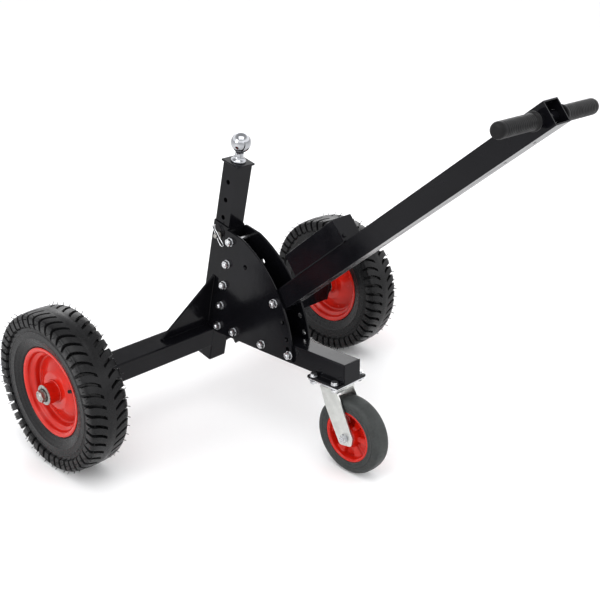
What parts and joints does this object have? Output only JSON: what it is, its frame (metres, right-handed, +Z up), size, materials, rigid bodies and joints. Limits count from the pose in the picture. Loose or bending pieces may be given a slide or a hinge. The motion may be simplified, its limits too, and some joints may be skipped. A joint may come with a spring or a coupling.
{
  "type": "trailer dolly",
  "caption": "Trailer dolly with pneumatic wheels on a beam axle, a swivel caster on the front tongue, a height-adjustable ball post and a pivoting T-handle.",
  "frame": {"origin": "on the floor, in the middle of the bounding box footprint", "axes": "+Z up, +X along the axle towards the right wheel, -Y forwards towards the caster and the pulling handle"},
  "size_m": [1.11, 1.1864, 1.0102],
  "materials": {
    "black_powder_coat": "gloss",
    "zinc_plate": "satin",
    "bright_chrome": "polished",
    "red_enamel": "gloss",
    "black_tyre": "matte",
    "grey_tyre": "matte",
    "black_rubber": "matte"
  },
  "bodies": {
    "frame": {"axle_beam_left": "black_powder_coat", "axle_beam_right": "black_powder_coat", "beam_end_plate_left": "black_powder_coat", "beam_end_plate_right": "black_powder_coat", "mast_sleeve": "black_powder_coat", "gusset_left": "black_powder_coat", "gusset_right": "black_powder_coat", "fan_plate_left": "black_powder_coat", "fan_plate_right": "black_powder_coat", "mast_bolt_1": "zinc_plate", "mast_bolt_2": "zinc_plate", "mast_bolt_3": "zinc_plate", "mast_bolt_4": "zinc_plate", "mast_bolt_5": "zinc_plate", "tongue_bolt_1": "zinc_plate", "tongue_bolt_2": "zinc_plate", "pivot_bolt": "zinc_plate", "lock_bolt": "zinc_plate", "pivot_spacer_left": "zinc_plate", "pivot_spacer_right": "zinc_plate", "tongue_tube": "black_powder_coat", "tongue_cap": "black_powder_coat", "caster_pad": "black_powder_coat", "caster_top_plate": "zinc_plate", "caster_bolt_1": "zinc_plate", "caster_bolt_2": "zinc_plate", "caster_bolt_3": "zinc_plate", "caster_bolt_4": "zinc_plate", "axle_shaft_left": "zinc_plate", "axle_shaft_right": "zinc_plate", "axle_nut_left": "zinc_plate", "axle_nut_right": "zinc_plate"},
    "ball_post": {"post_tube": "black_powder_coat", "post_top_plate": "black_powder_coat", "hitch_ball": "bright_chrome", "ball_nut": "zinc_plate"},
    "hitch_pin": {"hitch_pin": "zinc_plate", "pin_clip": "zinc_plate"},
    "handle": {"handle_tube": "black_powder_coat", "receiver_box": "black_powder_coat", "receiver_cap": "black_powder_coat", "cross_bar": "zinc_plate", "grip_left": "black_rubber", "grip_right": "black_rubber"},
    "caster_fork": {"caster_fork": "zinc_plate", "caster_axle": "zinc_plate"},
    "caster_wheel": {"caster_tyre": "grey_tyre", "caster_rim": "red_enamel"},
    "wheel_left": {"tyre_left": "black_tyre", "rim_left": "red_enamel", "hub_left": "red_enamel", "bearing_outer_left": "zinc_plate", "bearing_inner_left": "zinc_plate", "valve_stem_left": "black_rubber"},
    "wheel_right": {"tyre_right": "black_tyre", "rim_right": "red_enamel", "hub_right": "red_enamel", "bearing_outer_right": "zinc_plate", "bearing_inner_right": "zinc_plate", "valve_stem_right": "black_rubber"}
  },
  "joints": [
    {"name": "wheel_spin_left", "type": "hinge", "parent": "frame", "child": "wheel_left", "pos_m": [-0.488, 0.39017, 0.203], "axis": [1, 0, 0], "continuous": true},
    {"name": "wheel_spin_right", "type": "hinge", "parent": "frame", "child": "wheel_right", "pos_m": [0.488, 0.39017, 0.203], "axis": [1, 0, 0], "continuous": true},
    {"name": "handle_raise", "type": "hinge", "parent": "frame", "child": "handle", "pos_m": [0, 0.27017, 0.2486], "axis": [-1, 0, 0], "range_deg": [0, 36.5]},
    {"name": "caster_swivel", "type": "hinge", "parent": "frame", "child": "caster_fork", "pos_m": [0, -0.06123, 0.2241], "axis": [0, 0.0523, 0.9986], "continuous": true},
    {"name": "caster_spin", "type": "hinge", "parent": "caster_fork", "child": "caster_wheel", "pos_m": [0, -0.12724, 0.0995], "axis": [1, 0, 0], "continuous": true},
    {"name": "post_height", "type": "slide", "parent": "frame", "child": "ball_post", "axis": [0, -0.1959, 0.9806], "range_m": [-0.15, 0.15]},
    {"name": "pin_pull", "type": "slide", "parent": "frame", "child": "hitch_pin", "axis": [-1, 0, 0], "range_m": [0, 0.11]}
  ]
}
